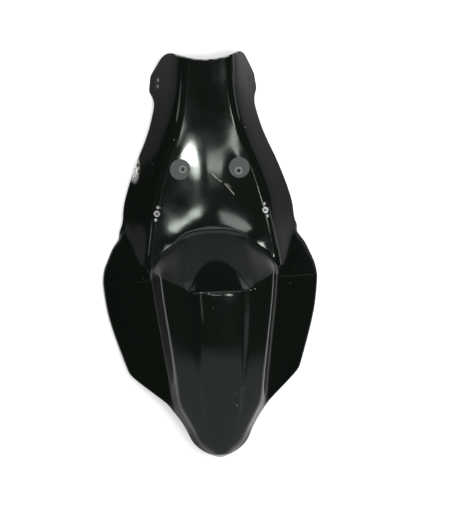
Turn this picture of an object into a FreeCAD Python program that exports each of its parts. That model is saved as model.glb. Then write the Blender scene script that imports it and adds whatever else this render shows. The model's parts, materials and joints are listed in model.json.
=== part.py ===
import FreeCAD, Part
import math
import os

V = FreeCAD.Vector

# Race seat unit: a one-piece glass-fibre moulding. Millimetres, +Y to the nose, +Z up,
# ground plane at z = 0 under the front ears and the wing lips.

# Laminate
WALL = 3.0
SKIRT = 30.0

# Saddle: pan level, rims and flanges
PAN_Z = 72.0
NOSE_RISE = 31.0
NOSE_Y = 395.0
NOSE_ARC = 190.0
EAR_Y = 348.0
EAR_TIP_Y = 416.0
EAR_TIP_Z = 50.0
EAR_TOE_Y = 363.0
EAR_HEEL_Y = 333.0
FLANK_EDGE_Z = 22.0
WAIST_Y = 255.0
HIP_Y = 100.0

# Wings: side panels with a turned-down lip
WING_FRONT_Y = 70.0
WING_CREST_Y = -56.0
WING_TOP_Z = 94.0
WING_INNER_X = 127.0
WING_HALF_WIDTH = 220.0
WING_FOLD_Z = 23.3
WING_PANEL_FALL = (WING_TOP_Z - WING_FOLD_Z) / (WING_HALF_WIDTH - WING_INNER_X)
WING_FRONT_FALL = 0.34
WING_REAR_X = 175.0
WING_REAR_Y = -245.0
WING_ROOT_X = 92.0
WING_ROOT_Y = -314.0
WING_TUCK = 8.0
WING_SHOULDER_R = 42.0
WING_SIDE_R = 300.0
WING_TIP_R = 14.0
WING_FOLD_R = 5.0
WING_JOIN_R = 5.0
LIP_RISE_Y = -150.0
LIP_REAR_Z = 12.0

# Hump: bump-stop face, arched deck, drafted walls and rounded tail
DECK_Z = 176.0
DECK_EDGE_X = 113.0
DECK_EDGE_Z = 149.0
DECK_EDGE_R = 8.0
TAIL_Y = -415.2
TAIL_EDGE_Z = 84.0
STOP_BASE_Z = 60.0
STOP_TOP_Z = 220.0

# Bulge along the middle of the deck
BULGE_CREST_Y = -77.0
BULGE_TOP_X = 50.0
BULGE_FOOT_X = 58.0
BULGE_TOP_Z = 190.0
BULGE_STAND = 21.0
BULGE_CROWN = 4.0
BULGE_EDGE_R = 7.0
BULGE_CREST_R = 4.0

# Twin holes in each front ear
EAR_HOLE_R = 5.0
EAR_HOLE_PITCH = 13.0
EAR_HOLE_Z = 24.0

# Load-spreading discs and their hand-drilled bolt holes
DISC_X = 60.5
DISC_Y = 170.0
DISC_R = 21.0
DISC_THICK = 2.0
DISC_SEAT_DEPTH = 0.8
DISC_SEAT_CLEARANCE = 0.3
DISC_BOLT_R = 4.25
DISC_LEFT_OFFSET = (5.5, 0.0)
DISC_RIGHT_OFFSET = (-1.5, -6.5)

# Anchor nuts riveted under the pan
ANCHOR_X = 111.0
ANCHOR_Y = 82.0
ANCHOR_TURN = 12.5
ANCHOR_WINDOW_R = 6.6
ANCHOR_PLATE_THICK = 1.2
ANCHOR_PLATE_R = 8.5
ANCHOR_LUG_R = 4.2
ANCHOR_BARREL_R = 4.8
ANCHOR_BARREL_LENGTH = 7.0
ANCHOR_THREAD_R = 2.5
ANCHOR_PAD_THICK = 1.3
RIVET_PITCH = 25.4
RIVET_R = 1.6
RIVET_HEAD_R = 3.5
RIVET_HEAD_HEIGHT = 1.5
RIVET_TAIL_R = 2.5
RIVET_TAIL_HEIGHT = 1.2
RIVET_SEAT_DEPTH = 0.4


def line(start, end):
    return Part.LineSegment(start, end).toShape()


def mirrored(half):
    """Whole outline from its right half, which starts and ends on the middle line."""
    return half + [(-a, b) for a, b in reversed(half) if abs(a) > 0]


def rounded_wire(corners, radii):
    """Closed wire of straight runs with an arc of its own radius at each rounded corner."""
    count = len(corners)
    edges = []
    marks = []
    for i in range(count):
        back = (corners[i - 1] - corners[i]).normalize()
        ahead = (corners[(i + 1) % count] - corners[i]).normalize()
        half = back.getAngle(ahead) / 2
        reach = radii[i] / math.tan(half) if radii[i] > 0 else 0.0
        deep = radii[i] / math.sin(half) - radii[i] if radii[i] > 0 else 0.0
        middle = corners[i] + (back + ahead).normalize() * deep if radii[i] > 0 else corners[i]
        marks.append((corners[i] + back * reach, middle, corners[i] + ahead * reach))
    for i in range(count):
        if radii[i] > 0:
            edges.append(Part.Arc(*marks[i]).toShape())
        edges.append(line(marks[i][2], marks[(i + 1) % count][0]))
    return Part.Wire(edges)


def bezier(poles):
    curve = Part.BezierCurve()
    curve.setPoles(poles)
    return curve.toShape()


def at_station(y, points):
    return [V(x, y, z) for x, z in points]


def soft_corner(before, corner, after, radius):
    """Ends and corner of a rounding that is tangent to both runs."""
    back = (before - corner).normalize()
    ahead = (after - corner).normalize()
    reach = radius / math.tan(back.getAngle(ahead) / 2)
    return [corner + back * reach, corner, corner + ahead * reach]


def saddle_section(y, rim_x, rim_z, dish, foot_x, slope, fullness, inset):
    """Pan between rolled rims, with flanges that run down past the ground plane."""
    fall = math.radians(slope)
    across = inset * math.sin(fall)
    down = inset * math.cos(fall)
    top = rim_z - inset
    roll = fullness * (foot_x - rim_x) - 0.5 * inset
    knee_z = 0.55 * rim_z
    knee_x = foot_x - knee_z / math.tan(fall) - across
    toe_x = foot_x + SKIRT / math.tan(fall) - inset / math.sin(fall)
    right = [(rim_x, top), (rim_x + roll, top), (knee_x, knee_z - down), (toe_x, -SKIRT)]
    left = [(-x, z) for x, z in reversed(right)]
    low = top - dish / 0.375
    pan = [(-rim_x, top), (-rim_x / 2, top), (0, low), (rim_x / 2, top), (rim_x, top)]
    edges = [bezier(at_station(y, poles)) for poles in (left, pan, right)]
    edges.append(line(V(toe_x, y, -SKIRT), V(-toe_x, y, -SKIRT)))
    return Part.Wire(edges)


def saddle(inset):
    nose_z = PAN_Z + NOSE_RISE
    rows = [
        (NOSE_Y + 50, 37, nose_z, -2, 100, 74, 0.44),
        (EAR_Y, 40, nose_z - 13, -2, 105, 74, 0.44),
        (WAIST_Y, 54, PAN_Z + 8, 1, 122, 72, 0.44),
        (181, 83, PAN_Z + 6, 5, 150, 70, 0.42),
        (HIP_Y, 106, PAN_Z + 8, 8, 178, 68, 0.36),
        (40, 120, PAN_Z + 11, 4, 190, 66, 0.28),
        (-20, 129, PAN_Z + 12, -14, 194, 62, 0.20),
        (-80, 133, PAN_Z + 6, -24, 196, 60, 0.16),
    ]
    return Part.makeLoft([saddle_section(*row, inset) for row in rows], True, False, False, 3)


def wing_block(inset):
    """Plan outline of both wings, stood up as a prism: its walls are the lips."""
    shoulder_x = WING_HALF_WIDTH + 3
    shoulder_y = WING_CREST_Y + 15
    lead_x = shoulder_x - 0.453 * (WING_FRONT_Y - shoulder_y)
    half = [(0, WING_FRONT_Y), (lead_x, WING_FRONT_Y), (shoulder_x, shoulder_y),
            (WING_HALF_WIDTH - 9, -130), (WING_REAR_X, WING_REAR_Y),
            (WING_ROOT_X, WING_ROOT_Y), (WING_ROOT_X - 30, WING_ROOT_Y - 16), (0, WING_ROOT_Y - 16)]
    rounds = [0, 0, WING_SHOULDER_R, WING_SIDE_R, WING_TIP_R, 0, 0, 0]
    corners = [V(x, y, -SKIRT) for x, y in mirrored(half)]
    radii = rounds + list(reversed(rounds[1:-1]))
    face = Part.Face(rounded_wire(corners, radii))
    if inset > 0:
        face = face.makeOffset2D(-inset)
    return face.extrude(V(0, 0, 160))


def wing_roof(y, inner_x, top_z, fall, inset):
    reach = 280.0
    slant = inset * math.hypot(1, fall)
    tuck_z = top_z - slant + fall * WING_TUCK
    half = [(0, tuck_z), (inner_x - WING_TUCK, tuck_z),
            (reach, top_z - slant - fall * (reach - inner_x)), (reach, -170), (0, -170)]
    points = [V(x, y, z) for x, z in mirrored(half)]
    return Part.makePolygon(points + [points[0]])


def wing(inset):
    """Wing panels: a leaning front facet and a long rear panel meeting on a crest."""
    ahead = 90.0
    drop = WING_FRONT_FALL * (ahead - WING_CREST_Y)
    front = wing_roof(ahead, WING_INNER_X, WING_TOP_Z - drop, WING_PANEL_FALL, inset)
    crest = wing_roof(WING_CREST_Y, WING_INNER_X, WING_TOP_Z, WING_PANEL_FALL, inset)
    rear = [crest,
            wing_roof(-185, 112, WING_TOP_Z - 1, WING_PANEL_FALL + 0.04, inset),
            wing_roof(WING_REAR_Y - 60, 102, WING_TOP_Z - 6, WING_PANEL_FALL + 0.08, inset),
            wing_roof(WING_REAR_Y - 105, 94, WING_TOP_Z - 10, WING_PANEL_FALL + 0.08, inset)]
    roof = Part.makeLoft([front, crest], True, True).fuse(Part.makeLoft(rear, True, True))
    return roof.common(wing_block(inset)).removeSplitter()


def hump_section(y, ridge_z, edge_x, edge_z, foot_x, edge_r, inset):
    """Arched deck over drafted walls; foot_x is the half width at the tail edge level."""
    draft = (foot_x - edge_x) / (edge_z - TAIL_EDGE_Z)
    side = inset * math.hypot(1, draft)
    top_z = ridge_z - inset
    low_z = edge_z - 1.08 * inset
    rim_x = edge_x - side + draft * (edge_z - low_z)
    base_x = foot_x - side + draft * (TAIL_EDGE_Z - STOP_BASE_Z)
    sag = top_z - low_z
    lean = 2 * math.atan(sag / rim_x)
    corner = V(rim_x, y, low_z)
    base = V(base_x, y, STOP_BASE_Z)
    inward = corner + V(-math.cos(lean), 0, math.sin(lean))
    bend = soft_corner(base, corner, inward, edge_r - 0.6 * inset)
    rise = (top_z - bend[2].z) / 0.75
    run = rise / math.tan(lean)
    shoulder = bend[2] + V(-run, 0, rise)
    right = [V(p.x, y, p.z) for p in bend]
    left = [V(-p.x, y, p.z) for p in reversed(bend)]
    crown = [left[0], V(-shoulder.x, y, shoulder.z), shoulder, right[2]]
    return Part.Wire([line(V(-base_x, y, STOP_BASE_Z), left[2]),
                      bezier(list(reversed(left))),
                      bezier(crown),
                      bezier(list(reversed(right))),
                      line(right[0], base),
                      line(base, V(-base_x, y, STOP_BASE_Z))])


def leaning_front(low, low_z, high, high_z, inset):
    """Everything behind a leaning face ruled between a low and a high plan curve."""
    wires = []
    for half, z in ((low, low_z), (high, high_z)):
        points = [(-x, y) for x, y in reversed(half[1:])] + half
        curve = Part.BSplineCurve()
        curve.interpolate([V(x, y - 1.4 * inset, z) for x, y in points])
        right = V(half[-1][0], half[-1][1] - 1.4 * inset, z)
        left = V(-right.x, right.y, z)
        back_right = V(right.x, TAIL_Y - 40, z)
        back_left = V(left.x, TAIL_Y - 40, z)
        wires.append(Part.Wire([curve.toShape(), line(right, back_right),
                                line(back_right, back_left), line(back_left, left)]))
    return Part.makeLoft(wires, True, True)


def hump(inset):
    rows = [
        (90, DECK_Z + 2, DECK_EDGE_X + 2, DECK_EDGE_Z + 2, 131, DECK_EDGE_R),
        (WING_CREST_Y, DECK_Z, DECK_EDGE_X, DECK_EDGE_Z, 129, DECK_EDGE_R),
        (-185, DECK_Z - 5, 97, DECK_EDGE_Z - 6, 113, DECK_EDGE_R + 2),
        (-260, DECK_Z - 16, 87, DECK_EDGE_Z - 17, 104, DECK_EDGE_R + 5),
        (-304, DECK_Z - 26, 82, DECK_EDGE_Z - 26, 100, DECK_EDGE_R + 7),
        (-335, DECK_Z - 35, 68, DECK_EDGE_Z - 32, 83, DECK_EDGE_R + 8),
        (-360, DECK_Z - 45, 55, DECK_EDGE_Z - 38, 68, DECK_EDGE_R + 7),
        (-384, DECK_Z - 57, 43, DECK_EDGE_Z - 46, 55, DECK_EDGE_R + 4),
        (TAIL_Y + 14, DECK_Z - 67, 29, DECK_EDGE_Z - 52, 40, DECK_EDGE_R),
        (TAIL_Y, DECK_Z - 77, 12, DECK_EDGE_Z - 55, 20, DECK_EDGE_R - 3),
    ]
    rows[-1] = (TAIL_Y + inset,) + rows[-1][1:]
    body = Part.makeLoft([hump_section(*row, inset) for row in rows], True, False, False, 2)
    low = [(0, 64.5), (58, 59.5), (89, 30.5), (114, 5.6), (126, -19), (150, -62)]
    high = [(0, -124), (58, -129), (89, -104), (114, -72), (126, -64), (150, -60)]
    return body.common(leaning_front(low, STOP_BASE_Z, high, STOP_TOP_Z, inset))


def bulge_section(y, top_x, top_z, valley_x, stand, inset):
    """Crowned top over drafted sides; stand is its height over the deck beside it."""
    foot_z = BULGE_TOP_Z - 80
    draft = (valley_x - top_x) / stand
    side = inset * math.hypot(1, draft)
    edge_z = top_z - inset
    edge_x = top_x - side + draft * inset
    foot_x = valley_x - side + draft * (top_z - stand - foot_z)
    foot = V(foot_x, y, foot_z)
    bend = soft_corner(foot, V(edge_x, y, edge_z), V(0, y, edge_z), BULGE_EDGE_R - inset)
    flip = [V(-p.x, y, p.z) for p in bend]
    top_z = edge_z + BULGE_CROWN / 0.75
    crown = [flip[2], V(flip[2].x / 2, y, top_z), V(bend[2].x / 2, y, top_z), bend[2]]
    return Part.Wire([line(V(-foot_x, y, foot_z), flip[0]),
                      bezier(flip),
                      bezier(crown),
                      bezier(list(reversed(bend))),
                      line(bend[0], foot),
                      line(foot, V(-foot_x, y, foot_z))])


def bulge(inset):
    rows = [
        (60, BULGE_TOP_X, BULGE_TOP_Z + 4, BULGE_FOOT_X, BULGE_STAND + 1),
        (BULGE_CREST_Y, BULGE_TOP_X, BULGE_TOP_Z, BULGE_FOOT_X, BULGE_STAND),
        (-185, BULGE_TOP_X - 5, BULGE_TOP_Z - 8, BULGE_FOOT_X - 6, BULGE_STAND - 2),
        (-260, BULGE_TOP_X - 11, BULGE_TOP_Z - 25, BULGE_FOOT_X - 12, BULGE_STAND - 4),
        (-320, BULGE_TOP_X - 17, BULGE_TOP_Z - 46, BULGE_FOOT_X - 18, BULGE_STAND - 5),
        (-350, BULGE_TOP_X - 22, BULGE_TOP_Z - 62, BULGE_FOOT_X - 23, BULGE_STAND - 7),
    ]
    body = Part.makeLoft([bulge_section(*row, inset) for row in rows], True, False, False, 2)
    low = [(0, 11), (22, 8.5), (43, -3), (58, -26), (78, -64)]
    high = [(0, -92), (22, -92.5), (43, -92.4), (58, -90), (78, -88)]
    body = body.common(leaning_front(low, BULGE_TOP_Z - 90, high, BULGE_TOP_Z + 20, inset))
    if inset > 0:
        return body
    crest = [edge for edge in body.Edges
             if edge.BoundBox.YMin > BULGE_CREST_Y - 10 and edge.BoundBox.ZMin > BULGE_TOP_Z - 12]
    return body.makeFillet(BULGE_CREST_R, crest)


def eased(body):
    """Round the wing crests and folds, then the line where each flank runs into its wing."""
    folds = []
    for edge in body.Edges:
        box = edge.BoundBox
        middle = edge.CenterOfMass
        on_crest = abs(middle.y - WING_CREST_Y) < 1 and edge.Length > 60 and box.ZMin > 0
        on_rim = box.ZMin > 10 and box.ZMax < WING_TOP_Z - 4 and box.YMax - box.YMin > 2
        if on_crest and abs(middle.x) > WING_INNER_X:
            folds.append(edge)
        elif on_rim and abs(middle.x) > WING_INNER_X and not on_join(edge):
            folds.append(edge)
    body = body.makeFillet(WING_FOLD_R, folds)
    return body.makeFillet(WING_JOIN_R, [edge for edge in body.Edges if on_join(edge)])


def on_join(edge):
    box = edge.BoundBox
    tall = box.ZMax - box.ZMin > 45 and box.ZMin > 0 and box.ZMax < WING_TOP_Z
    return tall and box.YMin > WING_CREST_Y + 2 and box.YMax < WING_FRONT_Y


def side_cut(points, radii):
    """Cutter drawn in the side view and run through the whole width."""
    corners = [V(-400, y, z) for y, z in points]
    return Part.Face(rounded_wire(corners, radii)).extrude(V(800, 0, 0))


def trimmed(shell):
    """Cut the moulding back to its trim line: tank arc, ears, flanks, lips and tail edge."""
    low = -SKIRT - 140
    tank = Part.makeCylinder(NOSE_ARC, 400, V(0, NOSE_Y + NOSE_ARC, low))
    front = side_cut([(EAR_TOE_Y, low), (EAR_TOE_Y, 0), (EAR_TIP_Y, EAR_TIP_Z),
                      (EAR_TIP_Y, 200), (NOSE_Y + 90, 200), (NOSE_Y + 90, low)],
                     [0, 0, 12, 0, 0, 0])
    flank = side_cut([(EAR_HEEL_Y, low), (EAR_HEEL_Y, 0), (EAR_HEEL_Y - 20, FLANK_EDGE_Z),
                      (WING_FRONT_Y - 8, FLANK_EDGE_Z), (WING_FRONT_Y - 40, 0),
                      (WING_FRONT_Y - 40, low)],
                     [0, 0, 22, 30, 0, 0])
    ground = Part.makeBox(800, 1000, -low, V(-400, -500, low))
    rear = side_cut([(LIP_RISE_Y, low), (LIP_RISE_Y, 0), (WING_REAR_Y, LIP_REAR_Z),
                     (WING_ROOT_Y + 10, TAIL_EDGE_Z - 18), (WING_ROOT_Y - 10, TAIL_EDGE_Z),
                     (TAIL_Y - 40, TAIL_EDGE_Z), (TAIL_Y - 40, low)],
                    [0, 0, 40, 15, 15, 0, 0])
    for cutter in (tank, front, flank, ground, rear):
        shell = shell.cut(cutter)
    return shell


def surface_z(body, x, y):
    """Height of a body's upper face above a point in plan."""
    probe = body.common(line(V(x, y, -SKIRT), V(x, y, 300)))
    return max(vertex.Z for vertex in probe.Vertexes)


def seat_frame(body, x, y, turn):
    """Placement on the upper face, Z along its normal, then turned about that normal."""
    step = 4.0
    along_x = V(2 * step, 0, surface_z(body, x + step, y) - surface_z(body, x - step, y))
    along_y = V(0, 2 * step, surface_z(body, x, y + step) - surface_z(body, x, y - step))
    normal = along_x.cross(along_y)
    tilt = FreeCAD.Rotation(V(0, 0, 1), normal)
    spin = FreeCAD.Rotation(V(0, 0, 1), turn)
    return FreeCAD.Placement(V(x, y, surface_z(body, x, y)), tilt.multiply(spin))


def flange_frame(body, sign, y, z):
    """Placement on the outer face of a front flange, Z along its outward normal."""
    step = 4.0

    def face_x(at_y, at_z):
        probe = body.common(line(V(0, at_y, at_z), V(sign * 300, at_y, at_z)))
        return sign * max(abs(vertex.X) for vertex in probe.Vertexes)

    along_y = V(face_x(y + step, z) - face_x(y - step, z), 2 * step, 0)
    along_z = V(face_x(y, z + step) - face_x(y, z - step), 0, 2 * step)
    normal = along_y.cross(along_z) * sign
    origin = V(face_x(y, z), y, z)
    side = along_y.normalize()
    return FreeCAD.Placement(origin, FreeCAD.Rotation(normal.cross(side), side, normal, "ZYX"))


def placed(shape, frame):
    shape.Placement = frame
    return shape


def peg(radius, low, high, x=0.0, y=0.0):
    return Part.makeCylinder(radius, high - low, V(x, y, low))


def obround(half_width, spread, low, high):
    bar = Part.makeBox(2 * half_width, spread, high - low, V(-half_width, -spread / 2, low))
    ends = [peg(half_width, low, high, 0, spread / 2), peg(half_width, low, high, 0, -spread / 2)]
    return bar.fuse(ends).removeSplitter()


def disc(offset):
    base = -DISC_SEAT_DEPTH
    top = base + DISC_THICK
    return peg(DISC_R, base, top).cut(peg(DISC_BOLT_R, base - 1, top + 1, *offset))


PAD_UNDERSIDE = -WALL - ANCHOR_PAD_THICK
PLATE_UNDERSIDE = PAD_UNDERSIDE - ANCHOR_PLATE_THICK


def anchor_nut():
    lugs = obround(ANCHOR_LUG_R, RIVET_PITCH, PLATE_UNDERSIDE, PAD_UNDERSIDE)
    plate = lugs.fuse(peg(ANCHOR_PLATE_R, PLATE_UNDERSIDE, PAD_UNDERSIDE))
    barrel_end = PLATE_UNDERSIDE - ANCHOR_BARREL_LENGTH
    nut = plate.fuse(peg(ANCHOR_BARREL_R, barrel_end, PLATE_UNDERSIDE)).removeSplitter()
    nut = nut.cut(peg(ANCHOR_THREAD_R, barrel_end - 1, PAD_UNDERSIDE + 1))
    for y in (-RIVET_PITCH / 2, RIVET_PITCH / 2):
        nut = nut.cut(peg(RIVET_R, PLATE_UNDERSIDE - 1, PAD_UNDERSIDE + 1, 0, y))
    return nut


def rivet(y):
    """Domed head on the pan, shank through pan and lug, upset tail under the lug."""
    seat = -RIVET_SEAT_DEPTH
    middle = V(0, y, seat)
    crown = V(0, y, seat + RIVET_HEAD_HEIGHT)
    rim = V(RIVET_HEAD_R, y, seat)
    bend = V(0.72 * RIVET_HEAD_R, y, seat + 0.72 * RIVET_HEAD_HEIGHT)
    edges = [Part.Arc(crown, bend, rim).toShape(), line(rim, middle), line(middle, crown)]
    head = Part.Face(Part.Wire(edges)).revolve(middle, V(0, 0, 1), 360)
    tail_end = PLATE_UNDERSIDE - RIVET_TAIL_HEIGHT
    shank = peg(RIVET_R, PLATE_UNDERSIDE, seat, 0, y)
    return head.fuse([shank, peg(RIVET_TAIL_R, tail_end, PLATE_UNDERSIDE, 0, y)])


def rivet_pair():
    return Part.makeCompound([rivet(-RIVET_PITCH / 2), rivet(RIVET_PITCH / 2)])


def drilled(shell, seat, sign):
    """Ear holes, disc seat and anchor window with rivet holes on one side of the shell."""
    half_pitch = EAR_HOLE_PITCH / 2
    twin = [peg(EAR_HOLE_R, -20, 20, 0, half_pitch), peg(EAR_HOLE_R, -20, 20, 0, -half_pitch)]
    shell = shell.cut(placed(Part.makeCompound(twin), seat["ear"]))
    offset = DISC_LEFT_OFFSET if sign < 0 else DISC_RIGHT_OFFSET
    seat_r = DISC_R + DISC_SEAT_CLEARANCE
    recess = peg(seat_r, -DISC_SEAT_DEPTH, 10).fuse(peg(DISC_BOLT_R, -20, 0, *offset))
    pad = obround(ANCHOR_PLATE_R + 1, RIVET_PITCH, PAD_UNDERSIDE, -1.2)
    window = peg(ANCHOR_WINDOW_R, -20, 10)
    spots = []
    for y in (-RIVET_PITCH / 2, RIVET_PITCH / 2):
        spots.append(peg(RIVET_R, -20, 10, 0, y))
        spots.append(peg(RIVET_HEAD_R, -RIVET_SEAT_DEPTH, 10, 0, y))
    shell = shell.fuse(placed(pad, seat["anchor"])).cut(placed(recess, seat["disc"]))
    return shell.cut(placed(window.fuse(spots), seat["anchor"]))


body = saddle(0)
outer = eased(body.fuse([wing(0), hump(0), bulge(0)]).removeSplitter())
inner = saddle(WALL).fuse([wing(WALL), hump(WALL), bulge(WALL)])
shell = trimmed(outer.cut(inner))

os.makedirs("parts", exist_ok=True)
for side, sign, disc_offset in (("left", -1, DISC_LEFT_OFFSET), ("right", 1, DISC_RIGHT_OFFSET)):
    seat = {"ear": flange_frame(body, sign, EAR_Y, EAR_HOLE_Z),
            "disc": seat_frame(body, sign * DISC_X, DISC_Y, 0),
            "anchor": seat_frame(body, sign * ANCHOR_X, ANCHOR_Y, sign * ANCHOR_TURN)}
    shell = drilled(shell, seat, sign)
    placed(disc(disc_offset), seat["disc"]).exportStep("parts/mounting_disc_%s.step" % side)
    placed(anchor_nut(), seat["anchor"]).exportStep("parts/anchor_nut_%s.step" % side)
    placed(rivet_pair(), seat["anchor"]).exportStep("parts/anchor_rivets_%s.step" % side)
shell.exportStep("parts/seat_shell.step")
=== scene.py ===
import json
import math
import bpy
from mathutils import Matrix, Vector


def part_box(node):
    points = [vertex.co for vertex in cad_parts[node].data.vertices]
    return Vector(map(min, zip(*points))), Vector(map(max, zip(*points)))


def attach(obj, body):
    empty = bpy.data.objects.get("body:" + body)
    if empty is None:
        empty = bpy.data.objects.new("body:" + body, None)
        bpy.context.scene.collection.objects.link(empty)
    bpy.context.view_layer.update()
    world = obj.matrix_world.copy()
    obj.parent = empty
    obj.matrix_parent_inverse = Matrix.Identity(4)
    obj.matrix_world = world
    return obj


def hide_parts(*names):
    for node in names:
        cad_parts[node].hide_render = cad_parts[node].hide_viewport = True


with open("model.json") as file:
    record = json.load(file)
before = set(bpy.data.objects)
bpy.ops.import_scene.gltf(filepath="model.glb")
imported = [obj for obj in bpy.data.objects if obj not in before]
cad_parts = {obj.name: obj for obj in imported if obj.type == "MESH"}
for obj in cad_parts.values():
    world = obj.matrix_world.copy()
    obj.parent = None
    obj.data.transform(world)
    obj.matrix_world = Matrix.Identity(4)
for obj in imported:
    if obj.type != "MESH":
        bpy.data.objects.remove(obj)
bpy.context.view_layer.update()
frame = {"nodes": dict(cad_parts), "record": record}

# Race seat unit: a gloss black glass-fibre moulding, drawn in millimetres and scaled to metres.
MM = 0.001
WALL = 3.0

# Photograph's frame, and where the lens stands over the pan
IMAGE_HEIGHT = 532
SENSOR = 36.0
PIXEL_SIZE = 2.031
LENS_DISTANCE = 5975.0
LENS_LEAN = math.radians(6.5)
LENS_PITCH = math.radians(-1.31)
LENS_ROLL = math.radians(2.1)
LENS_TARGET = Vector((28.15, -29.2, 75.0))

# Saddle stations: y, rim x, rim z, dish, foot x, flange slope, roll fullness
SADDLE = (
    (445, 37, 103, -2, 104, 56, 0.40),
    (348, 40, 90, -2, 109, 53, 0.34),
    (255, 54, 80, 1, 133, 46, 0.24),
    (181, 83, 78, 5, 167.5, 42, 0.18),
    (100, 106, 80, 8, 195.5, 40.5, 0.16),
    (40, 120, 83, 4, 195.5, 41, 0.16),
    (-20, 129, 84, -14, 201, 44, 0.16),
    (-80, 133, 78, -24, 201, 50, 0.16),
)
SKIRT = 30.0
KNEE_SHARE = 0.45

# Hump stations: y, ridge z, edge x, edge z, foot x at the tail edge, edge rounding
HUMP = (
    (90, 178, 115, 151, 131, 8),
    (-56, 176, 113, 149, 129, 8),
    (-185, 171, 97, 143, 113, 10),
    (-260, 160, 87, 132, 104, 13),
    (-304, 150, 81, 123, 99, 15),
    (-335, 141, 66, 117, 81, 16),
    (-360, 131, 53, 111, 66, 15),
    (-384, 119, 43, 103, 56, 12),
    (-401.2, 109, 27, 97, 37, 7),
    (-415.2, 99, 9, 94, 12, 3),
)
TAIL_EDGE_Z = 84.0
TAIL_WALL_LIP = 8.0
HIGHEST_WALL_FOOT = 140.0

# Tail's end: where the last section stands, how far its lower edge rounds out, and its width
TAIL_Y = -410.0
TAIL_NIB = 6.0
TAIL_END_WIDTH = 0.9

# Bulge stations: y, top x, top z, valley x
BULGE = (
    (60, 45.5, 188, 65),
    (-77, 45.5, 184, 65),
    (-185, 41, 176.5, 58),
    (-260, 36, 162.5, 50),
    (-320, 33, 144, 40),
    (-350, 28, 128, 35),
    (-416, 10, 90, 14),
)
BULGE_CROWN = 4.0
BULGE_FADE = 8.0
BULGE_TOP_LIMIT = 0.5
VALLEY_LIMIT = 0.64

# Arch where the bulge's front comes out of the bump stop
ARCH_HALF_WIDTH = 57.0
ARCH_LOW_Z = 125.0
ARCH_RISE = 39.0

# Leaning fronts, as x against y, on a low and a high level
STOP_LOW_Z = 60.0
STOP_LOW = ((0, 64.5), (58, 59.5), (89, 30.5), (114, 5.6), (126, -19), (150, -62))
STOP_HIGH_Z = 220.0
STOP_HIGH = ((0, -124), (58, -129), (89, -111), (114, -85), (126, -76), (150, -70))
BULGE_LOW_Z = 100.0
BULGE_LOW = ((0, 11), (22, 8.5), (43, -3), (58, -26), (78, -64))
BULGE_HIGH_Z = 210.0
BULGE_HIGH = ((0, -103), (22, -103.5), (43, -103), (58, -100), (78, -96))

# Wings: roof stations (y, inner x, top z, fall), front slope and plan outline (y, x)
WING_CREST_Y = -56.0
WING_FRONT_FALL = 0.34
WING_ROOF = (
    (-56, 127, 94, 0.76),
    (-185, 112, 93, 0.80),
    (-305, 102, 88, 0.84),
    (-350, 94, 84, 0.84),
)
WING_OUTLINE = ((70, 172.7), (-24, 215.3), (-41, 219.6), (-62, 220.6), (-130, 211),
                (-236, 177.8), (-247, 172.6), (-308, 99.2))
LIP_TRIM = ((313, 22), (71, 22), (62, 20.6), (54, 16.7), (30, 1.7), (-150, 1.7), (-245, 12),
            (-304, 66), (-324, 84), (-420, 84))
WING_ROOT_Y = -306.0
WING_LIP_LEAST = 2.0
FACET_LIP_LEAST = 1.0
FACET_BOW = 4.0

# Front trim: tank arc and the slanted ears
NOSE_Y = 390.0
NOSE_ARC = 155.0
NOSE_ARC_REACH = 150.0
EAR_TOE_Y = 363.0
EAR_HEEL_Y = 333.0
EAR_TIP_Y = 416.0
EAR_TIP_Z = 50.0
FLANK_EDGE_Z = 22.0
HEEL_RUN = 20.0
EAR_EDGE_Z = 1.7

# Columns of the moulding's mesh, from the middle line out to the free edge
BULGE_EDGE = 5
VALLEY = 8
DECK_EDGE = 14
WALL_FOOT = 19
FOLD = 25
FREE_EDGE = 28
FOLD_SHARE = 0.93
LARGEST_CLOSE_STEP = 0.3

# Shares of the ear's depth at the nose, close together at the ear's tip
EAR_SHARES = (0.0, 0.2, 0.36, 0.43, 0.49, 0.6, 0.78, 0.88, 0.95, 1.0)

# Rows of that mesh: nose to the foot of the bump stop, up the stop, up the bulge's front, to the tail
NOSE_SHARES = (1.0, 0.96, 0.86, 0.72, 0.56, 0.38, 0.18)
NECK_Y = 290.0
PAN_YS = (290, 258, 226, 196, 168, 138)
HIP_Y = 108.0
HIP_SHARES = (0.0, 0.27, 0.52, 0.74, 0.9)
HIP_END_Y = 57.0
FLANK_JOIN_YS = (-62.0, 62.0)
NOSE_ROWS = len(NOSE_SHARES) + len(PAN_YS) + len(HIP_SHARES) + 1
STOP_SHARES = (0.12, 0.35, 0.6, 0.85, 1.0)
BULGE_SHARES = (0.14, 0.4, 0.66, 0.88, 1.0)
STOP_ROWS = len(STOP_SHARES)
BULGE_ROWS = len(BULGE_SHARES)
VALLEY_STOP_SHARE = 0.85
CORNER_STOP_SHARE = 0.55
STOP_BLEND_COLUMNS = 4
CREST_SHARES = (0.07, 0.2, 0.45, 0.72)
DECK_Y = -150.0
DECK_YS = (-150, -182, -212, -234, -246, -259, -276, -293, -305, -317, -330, -345, -360, -375, -388,
           -396, -402, -406, TAIL_Y)
TAIL_END_SHARES = (0.3, 0.65, 1.0)
ROUND = 6.0
CORNER_EASE = 7.0
EASE_COLUMNS = 4
NOSE_ROUNDS = 12
BASE_ROUNDS = 30
CREST_ROUNDS = 20
MERGE = 0.0001
SMOOTH_LEVELS = 2
SHARP_ANGLE = math.radians(40)
DULL = "dull"

# Finishes of the wall in step: coat and rubbed coat, their cut edges, their insides
RUBBED_SLOT = 1
RIM_SLOTS = 2
INSIDE_SLOTS = 4
COAT_SHEEN = 0.3
RUBBED_SHEEN = 0.06
COAT_TINT = (0.9, 1.0, 0.92, 1.0)
COAT_GLOSS = (0.06, 0.14)
STOP_ROUGHNESS = 0.36
WORN_ROUGHNESS = 0.6
COAT_WAVES = 0.4

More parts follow.
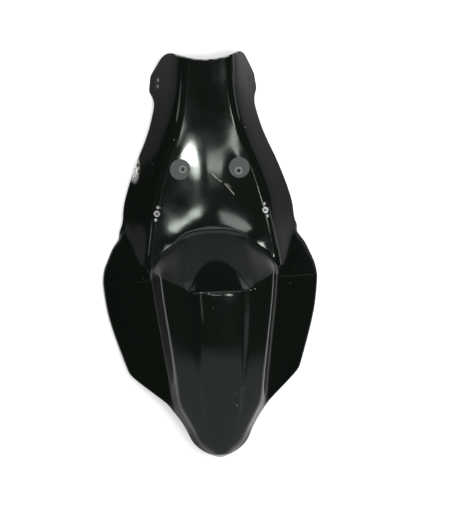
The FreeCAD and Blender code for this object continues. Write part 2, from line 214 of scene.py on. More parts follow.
# Fittings and holes
ANCHOR_WINDOW = 6.6
DISC_R = 21.0
DISC_THICK = 2.0
DISC_CLEARANCE = 0.3
BOLT_HEAD_RUB = (8.8, 6.6)
DRILL_SIDES = 64
DRILL_REACH = 20.0

# Wear, by place: scratches on the pan (start, end, width), the chipped flank and stray specks, the last four
# of which are painted highlights on the bulge's crest
SCRATCHES = (
    ((5, 159), (15, 149), 1.0),
    ((17, 146.5), (24, 142.5), 0.9),
    ((30, 138), (48, 116), 1.0),
    ((33, 139), (42, 130), 0.5),
)
CHIPPED_FLANK = ((-150, 184, 26), (14, 44, 44))
SPECKS_AND_CREST_HIGHLIGHTS = (((-70, 230.5, 78), (1.6, 1.6, 8)), ((76.5, 251, 70), (1.6, 1.6, 30)),
          ((30, -308, 140), (1.6, 1.6, 30)), ((-104, 93.5, 82), (2.2, 1.6, 8)),
          # painted highlights: twin pale dots at each corner of the bulge's crest, where light catches its
          # rounded edges
          ((-37.5, -78, 180), (2, 2, 30)), ((-22, -80, 180), (2, 2, 30)),
          ((63, -77, 170), (2, 2, 30)), ((73, -75, 170), (2, 2, 30)))
EDGE_WEAR = 2.6

# Floor, room and lamps (name, place, aim, width, height, power, seen in the gloss)
FLOOR_SIZE = 8.0
FLOOR_DROP = 0.0005
ROOM = 0.06
ROOM_FRONT = 1.4
ROOM_REAR = 0.8
FRONT_WALL = (0.55, 0.85)
FRONT_WALL_FOOT = (0.2, 0.32)
REAR_WALL = (-0.27, -0.4)
LAMPS = (
    ("fill", (0, 0, 2.6), (0, 0, 0), 2.4, 2.4, 110.0, False),
    ("key", (1.27, -0.28, 5.0), (-0.037, 0.2, 0.08), 0.26, 0.32, 24.0, True),
    ("second", (0.27, -0.22, 5.0), (0.01, 0.18, 0.08), 0.75, 0.24, 8.5, True),
    ("spot", (1.2, 0.8, 5.0), (-0.03, 0.07, 0.08), 0.42, 0.42, 14.0, True),
    ("arc_strip", (0.3, 2.1, 5.0), (0.03, 0.04, 0.08), 1.6, 0.8, 11.5, True),
    ("arc_side", (-0.1, 1.1, 5.0), (0.06, 0.06, 0.08), 0.5, 0.6, 8.0, True),
    ("left_strip", (-0.55, 0.2, 2.6), (0, 0.2, 0.08), 0.12, 1.6, 1.2, True),
    ("left_card", (-2.2, 0.45, 0.95), (-0.17, -0.05, 0.06), 0.3, 0.3, 1.4, True),
    ("right_card", (2.3, 0.42, 0.4), (0.17, -0.05, 0.06), 0.3, 0.3, 0.8, True),
)


def lerp(a, b, t):
    """Size at share t of the way from a to b."""
    return a + (b - a) * t


def between(rows, y):
    """Sizes at y on a smooth curve through stations that run from nose to tail."""
    last = len(rows) - 1
    i = min(max(sum(row[0] > y for row in rows) - 1, 0), last - 1)
    before, here, there, after = rows[max(i - 1, 0)], rows[i], rows[i + 1], rows[min(i + 2, last)]
    span = there[0] - here[0]
    t = (y - here[0]) / span
    sizes = []
    for k in range(1, len(here)):
        leave = (there[k] - before[k]) / (there[0] - before[0]) * span
        arrive = (after[k] - here[k]) / (after[0] - here[0]) * span
        a = 2 * here[k] - 2 * there[k] + leave + arrive
        b = 3 * there[k] - 3 * here[k] - 2 * leave - arrive
        sizes.append(((a * t + b) * t + leave) * t + here[k])
    return sizes


def straight(rows, y):
    """Size at y on straight runs between stations that run from nose to tail."""
    i = min(max(sum(row[0] > y for row in rows) - 1, 0), len(rows) - 2)
    here, there = rows[i], rows[i + 1]
    return lerp(here[1], there[1], (y - here[0]) / (there[0] - here[0]))


def halved(test, low, high):
    """Place between low and high where a falling test passes through nothing."""
    for _ in range(40):
        middle = (low + high) / 2
        if test(middle) > 0:
            low = middle
        else:
            high = middle
    return (low + high) / 2


def bezier(poles, t):
    """Point at share t of the curve that these poles pull."""
    points = [Vector(p) for p in poles]
    while len(points) > 1:
        points = [a.lerp(b, t) for a, b in zip(points, points[1:])]
    return points[0]


def pan_point(y, share):
    """Point of the pan; share runs from the middle line to the rim."""
    rim_x, rim_z, dish = between(SADDLE, y)[:3]
    t = 0.5 + 0.5 * share
    return Vector((rim_x * share, y, rim_z - 16 * dish * (t * (1 - t)) ** 2))


def flank_point(y, share):
    """Point of the flange; share runs from the rim to below the ground."""
    rim_x, rim_z, _, foot_x, slope, fullness = between(SADDLE, y)
    fall = math.tan(math.radians(slope))
    knee_z = KNEE_SHARE * rim_z
    poles = ((rim_x, rim_z), (rim_x + fullness * (foot_x - rim_x), rim_z),
             (foot_x - knee_z / fall, knee_z), (foot_x + SKIRT / fall, -SKIRT))
    x, z = bezier(poles, share)
    return Vector((x, y, z))


def flank_reach(y, z):
    """Share of the flange's run at which it has come down to z."""
    return halved(lambda share: flank_point(y, share).z - z, 0.0, 1.0)


def trim_z(y):
    """Height of the free edge of flanks, wing lips and tail."""
    if y > EAR_HEEL_Y - HEEL_RUN:
        return max(FLANK_EDGE_Z * (EAR_HEEL_Y - y) / HEEL_RUN, EAR_EDGE_Z)
    return straight(LIP_TRIM, y)


def ruled_y(low, low_z, high, high_z, x, z):
    """Place of a leaning front, straight between its low and high curves."""
    mirror_low = tuple((-a, b) for a, b in reversed(low[1:])) + low
    mirror_high = tuple((-a, b) for a, b in reversed(high[1:])) + high
    a = between(tuple(reversed(mirror_low)), x)[0]
    b = between(tuple(reversed(mirror_high)), x)[0]
    return lerp(a, b, (z - low_z) / (high_z - low_z))


def stop_y(x, z):
    """Place of the bump stop's leaning face."""
    return ruled_y(STOP_LOW, STOP_LOW_Z, STOP_HIGH, STOP_HIGH_Z, x, z)


def bulge_front_y(x, z):
    """Place of the bulge's leaning front."""
    return ruled_y(BULGE_LOW, BULGE_LOW_Z, BULGE_HIGH, BULGE_HIGH_Z, x, z)


def deck_z(x, y):
    """Height of the hump's crowned deck."""
    ridge_z, edge_x, edge_z = between(HUMP, y)[:3]
    return ridge_z - (ridge_z - edge_z) * (x / edge_x) ** 2


def wall_x(y, z):
    """Half width of the hump's leaning wall."""
    _, edge_x, edge_z, foot_x, _ = between(HUMP, y)
    return edge_x + (foot_x - edge_x) * (edge_z - z) / (edge_z - TAIL_EDGE_Z)


def wing_z(x, y):
    """Height of the wing's roof, and of its front facet before the crest."""
    inner_x, top_z, fall = between(WING_ROOF, min(y, WING_CREST_Y))
    return top_z - WING_FRONT_FALL * max(y - WING_CREST_Y, 0) - fall * (x - inner_x)


def outline_x(y):
    """Half width over the wings, seen from above."""
    return between(WING_OUTLINE, y)[0]


def wall_foot(y):
    """Where the hump's wall meets the wing, or its lower edge on the tail."""
    if y < WING_ROOT_Y:
        z = trim_z(y) + TAIL_WALL_LIP
        return Vector((wall_x(y, z), y, z))
    z = halved(lambda level: wing_z(wall_x(y, level), y) - level, 0.0, HIGHEST_WALL_FOOT)
    return Vector((wall_x(y, z), y, z))


def spread(start, end, count, lead, trail):
    """Shares along a run with a close step at each end, count steps in all."""
    length = (end - start).length
    first = min(lead / length, LARGEST_CLOSE_STEP) if lead else 1.0 / count
    last = 1 - (min(trail / length, LARGEST_CLOSE_STEP) if trail else 1.0 / count)
    inner = count - 2
    return [0.0] + [lerp(first, last, i / inner) for i in range(inner + 1)] + [1.0]


def bulge_corner(y):
    """Bulge's top edge and valley, which both sink into the deck towards the tail."""
    top_x, top_z, valley_x = between(BULGE, y)
    edge_x = between(HUMP, y)[1]
    top_x = min(top_x, BULGE_TOP_LIMIT * edge_x)
    valley_x = min(valley_x, VALLEY_LIMIT * edge_x)
    rise = max(top_z - deck_z(top_x, y), 0.0)
    top = Vector((top_x, y, deck_z(top_x, y) + rise))
    return top, Vector((valley_x, y, deck_z(valley_x, y))), min(rise / BULGE_FADE, 1.0)


def deck_section(y):
    """Hump and wing across one station, as points from the middle line to the free edge."""
    edge_x, edge_z = between(HUMP, y)[1:3]
    edge_r = between(HUMP, y)[4]
    top, valley, full = bulge_corner(y)
    corner = Vector((edge_x, y, edge_z))
    foot = wall_foot(y)
    points = []
    for share in spread(Vector((0, y, 0)), Vector((top.x, y, 0)), BULGE_EDGE, 0, ROUND)[:-1]:
        x = top.x * share
        crown = lerp(deck_z(x, y), top.z + BULGE_CROWN * (1 - share * share), full)
        points.append(Vector((x, y, crown)))
    for share in spread(top, valley, VALLEY - BULGE_EDGE, ROUND, ROUND)[:-1]:
        points.append(top.lerp(valley, share))
    for share in spread(valley, corner, DECK_EDGE - VALLEY, ROUND, edge_r)[:-1]:
        x = lerp(valley.x, corner.x, share)
        points.append(Vector((x, y, deck_z(x, y))))
    for share in spread(corner, foot, WALL_FOOT - DECK_EDGE, edge_r, ROUND)[:-1]:
        points.append(corner.lerp(foot, share))
    return points + wing_section(y, foot)


def wing_section(y, foot):
    """Wing and lip across one station, or the wall's lower run on the tail."""
    if y < WING_ROOT_Y:
        end = Vector((wall_x(y, trim_z(y)), y, trim_z(y)))
        return [foot.lerp(end, i / (FREE_EDGE - WALL_FOOT)) for i in range(FREE_EDGE - WALL_FOOT + 1)]
    fold = Vector((outline_x(y), y, wing_z(outline_x(y), y)))
    end = Vector((fold.x, y, min(trim_z(y), fold.z - WING_LIP_LEAST)))
    points = [foot.lerp(fold, share) for share in spread(foot, fold, FOLD - WALL_FOOT, ROUND, ROUND)]
    lip = spread(fold, end, FREE_EDGE - FOLD, ROUND, 0)
    return points + [fold.lerp(end, share) for share in lip[1:]]


def flank_share(column):
    """Share of the flange's depth at a column; the last columns crowd at the free edge."""
    if column <= FOLD:
        return FOLD_SHARE * (column - WALL_FOOT) / (FOLD - WALL_FOOT)
    return lerp(FOLD_SHARE, 1.0, (column - FOLD) / (FREE_EDGE - FOLD))


def saddle_row(ys, nose=0.0):
    """Row of the pan and flank whose y may differ from column to column."""
    reach = flank_reach(ys[FREE_EDGE], trim_z(ys[FREE_EDGE]))
    row = [pan_point(ys[i], i / WALL_FOOT) for i in range(WALL_FOOT)]
    for i in range(WALL_FOOT, FREE_EDGE + 1):
        share = lerp(flank_share(i), EAR_SHARES[i - WALL_FOOT], nose)
        row.append(flank_point(ys[i], reach * share))
    return row


def nose_row():
    """Free edge at the tank end: an arc over the pan and a slant down each ear."""
    ys = [EAR_TOE_Y] * (FREE_EDGE + 1)
    for _ in range(NOSE_ROUNDS):
        for i, point in enumerate(saddle_row(ys, 1.0)[:-1]):
            arc = NOSE_Y + NOSE_ARC - math.sqrt(NOSE_ARC ** 2 - min(point.x, NOSE_ARC_REACH) ** 2)
            slant = EAR_TOE_Y + (EAR_TIP_Y - EAR_TOE_Y) * point.z / EAR_TIP_Z
            ys[i] = min(arc, slant, EAR_TIP_Y)
    return ys


def base_row():
    """Foot of the bump stop across the pan, then the line where the flank meets the wing."""
    ys = [0.0] * (FREE_EDGE + 1)
    for i in range(WALL_FOOT + 1):
        for _ in range(BASE_ROUNDS):
            point = pan_point(ys[i], i / WALL_FOOT)
            ys[i] = lerp(ys[i], stop_y(point.x, point.z), 0.5)
    reach = flank_reach(HIP_END_Y, trim_z(HIP_END_Y))
    for i in range(WALL_FOOT + 1, FREE_EDGE + 1):
        share = reach * flank_share(i)
        ys[i] = halved(lambda y: wing_z(flank_point(y, share).x, y) - flank_point(y, share).z, *FLANK_JOIN_YS)
    for i in range(1, EASE_COLUMNS + 1):
        ys[WALL_FOOT - EASE_COLUMNS + i] += CORNER_EASE * (i / EASE_COLUMNS) ** 2
    return ys


def crest_row():
    """Front edge of the deck and bulge, the hump's front corner, then the wing's crest."""
    section = deck_section(WING_CREST_Y)
    row = []
    for i, point in enumerate(section[:WALL_FOOT + 1]):
        front = bulge_front_y if i <= VALLEY else stop_y
        y = WING_CREST_Y
        for _ in range(CREST_ROUNDS):
            point = deck_section(y)[i]
            y = lerp(y, front(point.x, point.z), 0.5)
        row.append(Vector((point.x, y, point.z)))
    row[WALL_FOOT] = wall_foot(row[WALL_FOOT].y - CORNER_EASE)
    return row


def shell_rows():
    """Every row of the half moulding, from the nose to the tail's lower edge."""
    nose = nose_row()
    base = base_row()
    rows = [saddle_row([lerp(NECK_Y, y, t) for y in nose], t) for t in NOSE_SHARES]
    rows += [saddle_row([y] * (FREE_EDGE + 1)) for y in PAN_YS]
    rows += [saddle_row([lerp(HIP_Y, y, t) for y in base]) for t in HIP_SHARES]
    arch = saddle_row(base)
    crest = crest_row()
    return rows + [arch] + stop_rows(arch, crest) + tail_rows(crest)


def bulge_base():
    """Arch where the bulge's front comes out of the bump stop."""
    points = []
    for i in range(VALLEY + 1):
        x = ARCH_HALF_WIDTH * i / VALLEY
        z = ARCH_LOW_Z + ARCH_RISE * (i / VALLEY) ** 2
        points.append(Vector((x, stop_y(x, z), z)))
    return points


def stop_rows(arch, crest):
    """Bump stop, bulge front and the wing's front facet, between the arch and the crest rows."""
    base = bulge_base()
    steps = [(False, t) for t in STOP_SHARES] + [(True, t) for t in BULGE_SHARES]
    wing = wing_section(WING_CREST_Y, wall_foot(WING_CREST_Y))
    rows = []
    for n, (on_bulge, t) in enumerate(steps):
        row = []
        for i in range(VALLEY + 1):
            start, end = (base[i], crest[i]) if on_bulge else (arch[i], base[i])
            point = start.lerp(end, t)
            if not on_bulge:
                point.y = stop_y(point.x, point.z)
            row.append(point)
        for i in range(VALLEY + 1, WALL_FOOT + 1):
            blend = min((i - VALLEY - 1) / STOP_BLEND_COLUMNS, 1.0)
            middle = lerp(VALLEY_STOP_SHARE, CORNER_STOP_SHARE, blend)
            share = lerp(middle, 1.0, t) if on_bulge else middle * t
            point = arch[i].lerp(crest[i], share)
            if i < WALL_FOOT:
                point.y = stop_y(point.x, point.z)
            row.append(point)
        share = (n + 1) / len(steps)
        edge = arch[FOLD].lerp(wing[FOLD - WALL_FOOT], share)
        bow = (outline_x(edge.y) - edge.x) * min(FACET_BOW * share, 1.0)
        for i in range(WALL_FOOT + 1, FOLD + 1):
            point = arch[i].lerp(wing[i - WALL_FOOT], share)
            point.x += bow * (i - WALL_FOOT) / (FOLD - WALL_FOOT)
            row.append(Vector((point.x, point.y, wing_z(point.x, point.y))))
        fold = row[FOLD]
        low = Vector((fold.x, fold.y, min(trim_z(fold.y), fold.z - FACET_LIP_LEAST)))
        row += [fold.lerp(low, i / (FREE_EDGE - FOLD)) for i in range(1, FREE_EDGE - FOLD + 1)]
        rows.append(row)
    return rows


def tail_rows(crest):
    """Deck, walls and wings back to the tail, then down the tail's rounded end."""
    fronts = [point.y for point in crest] + [WING_CREST_Y] * (FREE_EDGE - WALL_FOOT)
    rows = []
    for t in CREST_SHARES:
        rows.append([deck_section(lerp(y, DECK_Y, t))[i] for i, y in enumerate(fronts)])
    rows += [deck_section(y) for y in DECK_YS]
    end = rows[-1]
    for share in TAIL_END_SHARES:
        row = []
        for i, point in enumerate(end):
            across = i / FREE_EDGE
            x = lerp(point.x, TAIL_END_WIDTH * end[-1].x * across, share)
            y = TAIL_Y - TAIL_NIB * share * (1 - across * across)
            row.append(Vector((x, y, lerp(point.z, TAIL_EDGE_Z, share))))
        rows.append(row)
    return rows


def shaped(piece, kind, **settings):
    """Add a modifier with these settings and apply it."""
    modifier = piece.modifiers.new(kind.lower(), kind)
    for name, value in settings.items():
        setattr(modifier, name, value)
    bpy.ops.object.select_all(action="DESELECT")
    bpy.context.view_layer.objects.active = piece
    bpy.ops.object.modifier_apply(modifier=modifier.name)


def moulded_shell(finishes):
    """The moulding: half a grid laid on the sections, mirrored, smoothed and given its wall."""
    rows = list(reversed(shell_rows()))
    bpy.ops.object.select_all(action="DESELECT")
    bpy.ops.mesh.primitive_grid_add(x_subdivisions=FREE_EDGE, y_subdivisions=len(rows) - 1, size=2)
    shell = bpy.context.object
    shell.name = "moulded_shell"
    dulled = shell.data.attributes.new(DULL, "FLOAT", "POINT")
    for n, row in enumerate(rows):
        for i, point in enumerate(row):
            vertex = n * (FREE_EDGE + 1) + i
            shell.data.vertices[vertex].co = point * MM
            dulled.data[vertex].value = float(on_stop(len(rows) - 1 - n, i))
    for slot in finishes:
        shell.data.materials.append(slot)
    for face in shell.data.polygons:
        n, i = divmod(min(face.vertices), FREE_EDGE + 1)
        face.material_index = RUBBED_SLOT if on_side(len(rows) - 1 - n, i) else 0
    shaped(shell, "MIRROR", use_mirror_merge=True, merge_threshold=MERGE)
    shaped(shell, "SUBSURF", levels=SMOOTH_LEVELS, render_levels=SMOOTH_LEVELS)
    shaped(shell, "SOLIDIFY", thickness=WALL * MM, offset=-1.0, use_even_offset=True,
           use_quality_normals=True, material_offset=INSIDE_SLOTS, material_offset_rim=RIM_SLOTS)
    cutter = drills(finishes[INSIDE_SLOTS])
    shaped(shell, "BOOLEAN", object=cutter, operation="DIFFERENCE", solver="EXACT",
           material_mode="TRANSFER")
    bpy.data.objects.remove(cutter)
    bpy.ops.object.select_all(action="DESELECT")
    shell.select_set(True)
    bpy.ops.object.shade_smooth_by_angle(angle=SHARP_ANGLE)
    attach(shell, "root")
    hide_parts("seat_shell")
    return shell


def on_stop(row, column):
    """Whether a point of the grid lies on the bump stop, outside the bulge's front."""
    first = NOSE_ROWS
    last = first + STOP_ROWS if column <= VALLEY else first + STOP_ROWS + BULGE_ROWS
    return first <= row < last and column < WALL_FOOT


def on_side(row, column):
    """Whether a point of the grid lies on a flank, wing or tail wall, which are rubbed duller."""
    if row < NOSE_ROWS:
        return column > WALL_FOOT + 1
    return column > (DECK_EDGE if row > NOSE_ROWS + STOP_ROWS + BULGE_ROWS else WALL_FOOT)


def drill(place, axis, radius, low, high):
    """Round cutter along an axis, from low to high beyond its place."""
    turn = Vector((0, 0, 1)).rotation_difference(axis)
    middle = place + axis * (low + high) / 2
    bpy.ops.mesh.primitive_cylinder_add(vertices=DRILL_SIDES, radius=radius, depth=high - low,
                                        location=middle, rotation=turn.to_euler())
    return bpy.context.object


def drills(bare):
    """Cutters for the ear holes, disc seats, bolt holes and anchor windows."""
    bpy.ops.object.select_all(action="DESELECT")
    cutters = []
    for mount in frame["record"]["mounts"]:
        place = Vector(mount["pos_m"])
        axis = Vector(mount["axis"]).normalized()
        radius = mount["dims"]["r_mm"] * MM
        if mount["name"].startswith("anchor"):
            radius = ANCHOR_WINDOW * MM
        cutters.append(drill(place, axis, radius, -DRILL_REACH * MM, DRILL_REACH * MM))
        if mount["name"].startswith("disc_bolt"):
            low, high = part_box("mounting_disc" + mount["name"][len("disc_bolt"):])
            seat = (DISC_R + DISC_CLEARANCE) * MM
            cutters.append(drill((low + high) / 2, axis, seat, -DISC_THICK / 2 * MM, DRILL_REACH * MM))
    for cutter in cutters:
        cutter.select_set(True)
        cutter.data.materials.append(bare)
    bpy.context.view_layer.objects.active = cutters[0]
    bpy.ops.object.join()
    return bpy.context.object


class Graph:
    """Node tree of one finish or of the room."""

    def __init__(self, owner):
        owner.use_nodes = True
        self.owner = owner
        self.tree = owner.node_tree
        self.surface = self.tree.nodes.get("Principled BSDF")
        self.place = self.add("TexCoord").outputs["Object"]

    def add(self, kind, inputs=None, **settings):
        node = self.tree.nodes.new("ShaderNode" + kind)
        for name, value in settings.items():
            setattr(node, name, value)
        for name, value in (inputs or {}).items():
            self.put(node.inputs[name], value)
        return node

    def put(self, socket, value):
        if isinstance(value, bpy.types.NodeSocket):
            self.tree.links.new(value, socket)
        else:
            socket.default_value = value

    def math(self, operation, a, b=0.0, c=0.0, clamp=False):
        return self.add("Math", {0: a, 1: b, 2: c}, operation=operation, use_clamp=clamp).outputs[0]

    def vector(self, operation, a, b=(0, 0, 0), out="Vector"):
        return self.add("VectorMath", {0: a, 1: b}, operation=operation).outputs[out]

    def step(self, value, low, high, out_low=0.0, out_high=1.0):
        """Smooth change of a value from low to high."""
        inputs = {"Value": value, "From Min": low, "From Max": high, "To Min": out_low, "To Max": out_high}
        return self.add("MapRange", inputs, interpolation_type="SMOOTHSTEP").outputs["Result"]

    def noise(self, scale, detail=2.0, roughness=0.5, stretch=(1, 1, 1)):
        place = self.vector("MULTIPLY", self.place, stretch)
        inputs = {"Vector": place, "Scale": scale, "Detail": detail, "Roughness": roughness}
        return self.add("TexNoise", inputs).outputs["Fac"]

    def blend(self, share, a, b):
        node = self.add("Mix", {"Factor": share}, data_type="RGBA")
        self.put(node.inputs["A"], a)
        self.put(node.inputs["B"], b)
        return node.outputs["Result"]

    def patch(self, centre, size):
        """One at the middle of an oval patch, nothing at its edge."""
        away = self.vector("SUBTRACT", self.place, [c * MM for c in centre])
        away = self.vector("DIVIDE", away, [s * MM for s in size])
        return self.step(self.vector("LENGTH", away, out="Value"), 1.0, 0.3)

    def scratch(self, start, end, width):
        """One on a straight scratch seen from above, nothing beside it."""
        start = Vector((*start, 0)) * MM
        run = Vector((*end, 0)) * MM - start
        flat = self.vector("MULTIPLY", self.place, (1, 1, 0))
        away = self.vector("SUBTRACT", flat, start)
        along = self.math("DIVIDE", self.vector("DOT_PRODUCT", away, run, out="Value"), run.length_squared,
                          clamp=True)
        foot = self.add("VectorMath", {0: run, "Scale": along}, operation="SCALE").outputs["Vector"]
        gap = self.vector("LENGTH", self.vector("SUBTRACT", away, foot), out="Value")
        return self.step(gap, width * MM, 0.3 * width * MM)

    def bump(self, height, distance, strength=1.0):
        node = self.add("Bump", {"Height": height, "Distance": distance * MM, "Strength": strength})
        return node.outputs["Normal"]

    def set(self, **sockets):
        for name, value in sockets.items():
            self.put(self.surface.inputs[name.replace("_", " ")], value)
        return self.owner


def finish(name):
    """Empty finish of this name."""
    return Graph(bpy.data.materials.new(name))


def colour(r, g, b):
    return (r, g, b, 1.0)


def scratched(graph):
    """Broken scratches on the pan."""
    marks = graph.scratch(*SCRATCHES[0])
    for scratch in SCRATCHES[1:]:
        marks = graph.math("MAXIMUM", marks, graph.scratch(*scratch))
    return graph.math("MULTIPLY", marks, graph.step(graph.noise(900), 0.36, 0.56))


def chipped(graph):
    """Flakes of coat off the left flank's edge."""
    flakes = graph.step(graph.noise(130, 5.0, 0.75, (1.6, 0.8, 1)), 0.42, 0.5)
    return graph.math("MULTIPLY", flakes, graph.patch(*CHIPPED_FLANK))


def dusted_and_highlit(graph):
    """Fine stray specks, chips that stand out, and painted highlights: pale dots in pairs at the corners of
    the bulge's crest.
    """
    specks = graph.add("TexVoronoi", {"Vector": graph.place, "Scale": 70.0, "Randomness": 1.0})
    chosen = graph.step(graph.add("SeparateColor", {0: specks.outputs["Color"]}).outputs[0], 0.93, 0.94)
    dust_and_highlights = graph.math("MULTIPLY", chosen, graph.step(specks.outputs["Distance"], 0.07, 0.04))
    # listed chips, and painted highlights at the bulge's crest corners
    for speck_or_highlight in SPECKS_AND_CREST_HIGHLIGHTS:
        dust_and_highlights = graph.math("MAXIMUM", dust_and_highlights, graph.patch(*speck_or_highlight))
    return dust_and_highlights


def nose_rubbed(graph):
    """Coat rubbed thin along the nose's cut edge."""
    flat = graph.vector("MULTIPLY", graph.place, (1, 1, 0))
    reach = graph.vector("DISTANCE", flat, (0, (NOSE_Y + NOSE_ARC) * MM, 0), out="Value")
    edge = graph.step(reach, (NOSE_ARC + EDGE_WEAR) * MM, (NOSE_ARC + 0.4 * EDGE_WEAR) * MM)
    return graph.math("MULTIPLY", edge, graph.step(graph.noise(60), 0.35, 0.6))


def gelcoat(name, sheen):
    """Gloss black, faintly green, with moulding waves, haze, scratches, dust, one chipped flank and painted
    highlights at the bulge's crest.
    """
    graph = finish(name)
    marks = scratched(graph)
    chips = chipped(graph)
    tone = graph.blend(graph.noise(7.0), colour(0.0018, 0.0026, 0.0018), colour(0.0031, 0.0041, 0.0029))
    # pale dust, chips and painted highlights on the bulge's crest, in one grey over the coat
    tone = graph.blend(graph.math("MULTIPLY", dusted_and_highlit(graph), 0.5), tone, colour(0.25, 0.26, 0.24))
    tone = graph.blend(graph.math("MULTIPLY", marks, 0.6), tone, colour(0.5, 0.52, 0.48))
    tone = graph.blend(graph.math("MULTIPLY", nose_rubbed(graph), 0.6), tone, colour(0.4, 0.42, 0.38))
    tone = graph.blend(chips, tone, colour(0.55, 0.56, 0.53))
    dull = graph.add("Attribute", attribute_name=DULL).outputs["Fac"]
    haze = graph.step(graph.noise(16, 5.0, 0.6), 0.3, 0.75, *COAT_GLOSS)
    rough = graph.math("MAXIMUM", graph.math("MULTIPLY", dull, STOP_ROUGHNESS), haze)
    worn = graph.math("MULTIPLY", graph.math("MAXIMUM", marks, chips), WORN_ROUGHNESS)
    rough = graph.math("MAXIMUM", rough, worn)
    relief = graph.math("SUBTRACT", graph.noise(11, 2.0, 0.4), graph.math("MULTIPLY", chips, 0.15))
    return graph.set(Base_Color=tone, Roughness=rough, Normal=graph.bump(relief, COAT_WAVES),
                     Specular_IOR_Level=sheen, Specular_Tint=COAT_TINT)


def cut_laminate():
    """Sawn edge of the laminate: pale resin with glass strands."""
    graph = finish("cut_laminate")
    strands = graph.noise(260, 4.0, 0.6, (1, 1, 3))
    tone = graph.blend(graph.step(strands, 0.3, 0.7), colour(0.10, 0.11, 0.09), colour(0.42, 0.43, 0.37))
    return graph.set(Base_Color=tone, Roughness=0.6, Normal=graph.bump(strands, 0.4))


def bare_laminate():
    """Inner face: resin-wet chopped strand mat over the dark gelcoat."""
    graph = finish("bare_laminate")
    mat = graph.noise(120, 6.0, 0.7)
    weave = graph.noise(420, 3.0, 0.6, (1, 3, 1))
    tone = graph.blend(graph.step(mat, 0.35, 0.7), colour(0.018, 0.022, 0.017), colour(0.06, 0.068, 0.05))
    tone = graph.blend(graph.math("MULTIPLY", graph.step(weave, 0.62, 0.75), 0.5), tone,
                       colour(0.16, 0.165, 0.13))
    relief = graph.math("ADD", mat, graph.math("MULTIPLY", weave, 0.5))
    return graph.set(Base_Color=tone, Roughness=graph.step(mat, 0.3, 0.7, 0.25, 0.5),
                     Normal=graph.bump(relief, 1.2))


def disc_rubber(side):
    """Matt grey load disc, lighter where a bolt head has rubbed round its hole."""
    graph = finish("disc_" + side)
    mount = mount_named("disc_bolt_" + side)
    away = graph.vector("SUBTRACT", graph.place, mount["pos_m"])
    ring = graph.step(graph.vector("LENGTH", away, out="Value"), *[r * MM for r in BOLT_HEAD_RUB])
    grain = graph.noise(700, 4.0, 0.7)
    tone = graph.blend(grain, colour(0.02, 0.023, 0.02), colour(0.06, 0.066, 0.061))
    tone = graph.blend(graph.math("MULTIPLY", ring, 0.55), tone, colour(0.17, 0.18, 0.17))
    rough = graph.step(grain, 0.2, 0.8, 0.62, 0.85)
    return graph.set(Base_Color=tone, Roughness=rough, Normal=graph.bump(grain, 0.25))


def bright_metal(name, tint, low, high):
    """Plated or polished metal with fine handling marks."""
    graph = finish(name)
    marks = graph.noise(900, 4.0, 0.65, (1, 2.5, 1))
    tone = graph.blend(marks, colour(*[0.72 * t for t in tint]), colour(*tint))
    graph.surface.inputs["Metallic"].default_value = 1.0
    return graph.set(Base_Color=tone, Roughness=graph.step(marks, 0.2, 0.8, low, high),
                     Normal=graph.bump(marks, 0.06))


def mount_named(name):
    """Mounting place of this name in the part's record."""
    return next(mount for mount in frame["record"]["mounts"] if mount["name"] == name)


def dress(node, material):
    """Give a fitting its finish."""
    piece = frame["nodes"][node]
    piece.data.materials.clear()
    piece.data.materials.append(material)


def fittings():
    """Finishes of the discs, anchor nuts and rivets, which keep their own shapes."""
    nut = bright_metal("plated_steel", (0.3, 0.31, 0.3), 0.22, 0.38)
    rivet = bright_metal("rivet_alloy", (0.5, 0.5, 0.49), 0.2, 0.36)
    for side in ("left", "right"):
        dress("mounting_disc_" + side, disc_rubber(side))
        dress("anchor_nut_" + side, nut)
        dress("anchor_rivets_" + side, rivet)


def floor():
    """Plain pale floor that keeps the shadow."""
    bpy.ops.object.select_all(action="DESELECT")
    bpy.ops.mesh.primitive_plane_add(size=FLOOR_SIZE, location=(0, 0, -FLOOR_DROP))
    plane = bpy.context.object
    plane.name = "floor"
    graph = finish("floor")
    mottle = graph.noise(3.0)
    tone = graph.blend(mottle, colour(0.89, 0.89, 0.89), colour(0.91, 0.91, 0.91))
    plane.data.materials.append(graph.set(Base_Color=tone, Roughness=0.9))


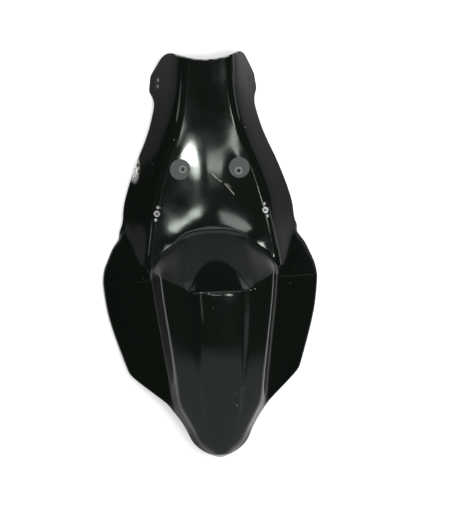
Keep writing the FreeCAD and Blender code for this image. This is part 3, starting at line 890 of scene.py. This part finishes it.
def lamp(name, place, aim, width, height, power, in_gloss):
    """Soft rectangular lamp whose width stays across the seat."""
    data = bpy.data.lights.new(name, "AREA")
    data.shape = "RECTANGLE"
    data.size = width
    data.size_y = height
    data.energy = power
    light = bpy.data.objects.new(name, data)
    bpy.context.scene.collection.objects.link(light)
    light.visible_glossy = in_gloss
    light.visible_camera = False
    light.location = place
    back = (Vector(place) - Vector(aim)).normalized()
    side = Vector((0, 1, 0)).cross(back).normalized()
    light.rotation_euler = Matrix((side, back.cross(side), back)).transposed().to_euler()


def studio():
    """Dim room with paler walls before and behind, and the lamps."""
    graph = Graph(bpy.data.worlds.new("room"))
    parts = graph.add("SeparateXYZ", {0: graph.add("TexCoord").outputs["Generated"]})
    front = graph.math("MULTIPLY", graph.step(parts.outputs["Y"], *FRONT_WALL, 0.0, ROOM_FRONT),
                       graph.step(parts.outputs["Z"], *FRONT_WALL_FOOT))
    rear = graph.step(parts.outputs["Y"], *REAR_WALL, 0.0, ROOM_REAR)
    background = graph.tree.nodes["Background"]
    graph.put(background.inputs["Strength"], graph.math("ADD", graph.math("ADD", front, rear), ROOM))
    graph.put(background.inputs["Color"], colour(1.0, 1.0, 1.0))
    bpy.context.scene.world = graph.owner
    for light in LAMPS:
        lamp(*light)


def lens():
    """Long lens above the pan, leaning a little to the left."""
    data = bpy.data.cameras.new("lens")
    data.sensor_width = SENSOR
    data.lens = SENSOR * LENS_DISTANCE / PIXEL_SIZE / IMAGE_HEIGHT
    camera = bpy.data.objects.new("lens", data)
    bpy.context.scene.collection.objects.link(camera)
    turn = Matrix.Rotation(-LENS_LEAN, 4, "Y") @ Matrix.Rotation(LENS_PITCH, 4, "X")
    turn = turn @ Matrix.Rotation(-LENS_ROLL, 4, "Z")
    back = turn @ Vector((0, 0, LENS_DISTANCE))
    camera.matrix_world = Matrix.Translation((LENS_TARGET + back) * MM) @ turn
    bpy.context.scene.camera = camera


cut, bare = cut_laminate(), bare_laminate()
moulded_shell((gelcoat("gelcoat", COAT_SHEEN), gelcoat("rubbed_gelcoat", RUBBED_SHEEN), cut, cut, bare, bare))
fittings()
floor()
studio()
lens()
bpy.context.scene.view_settings.view_transform = "Standard"
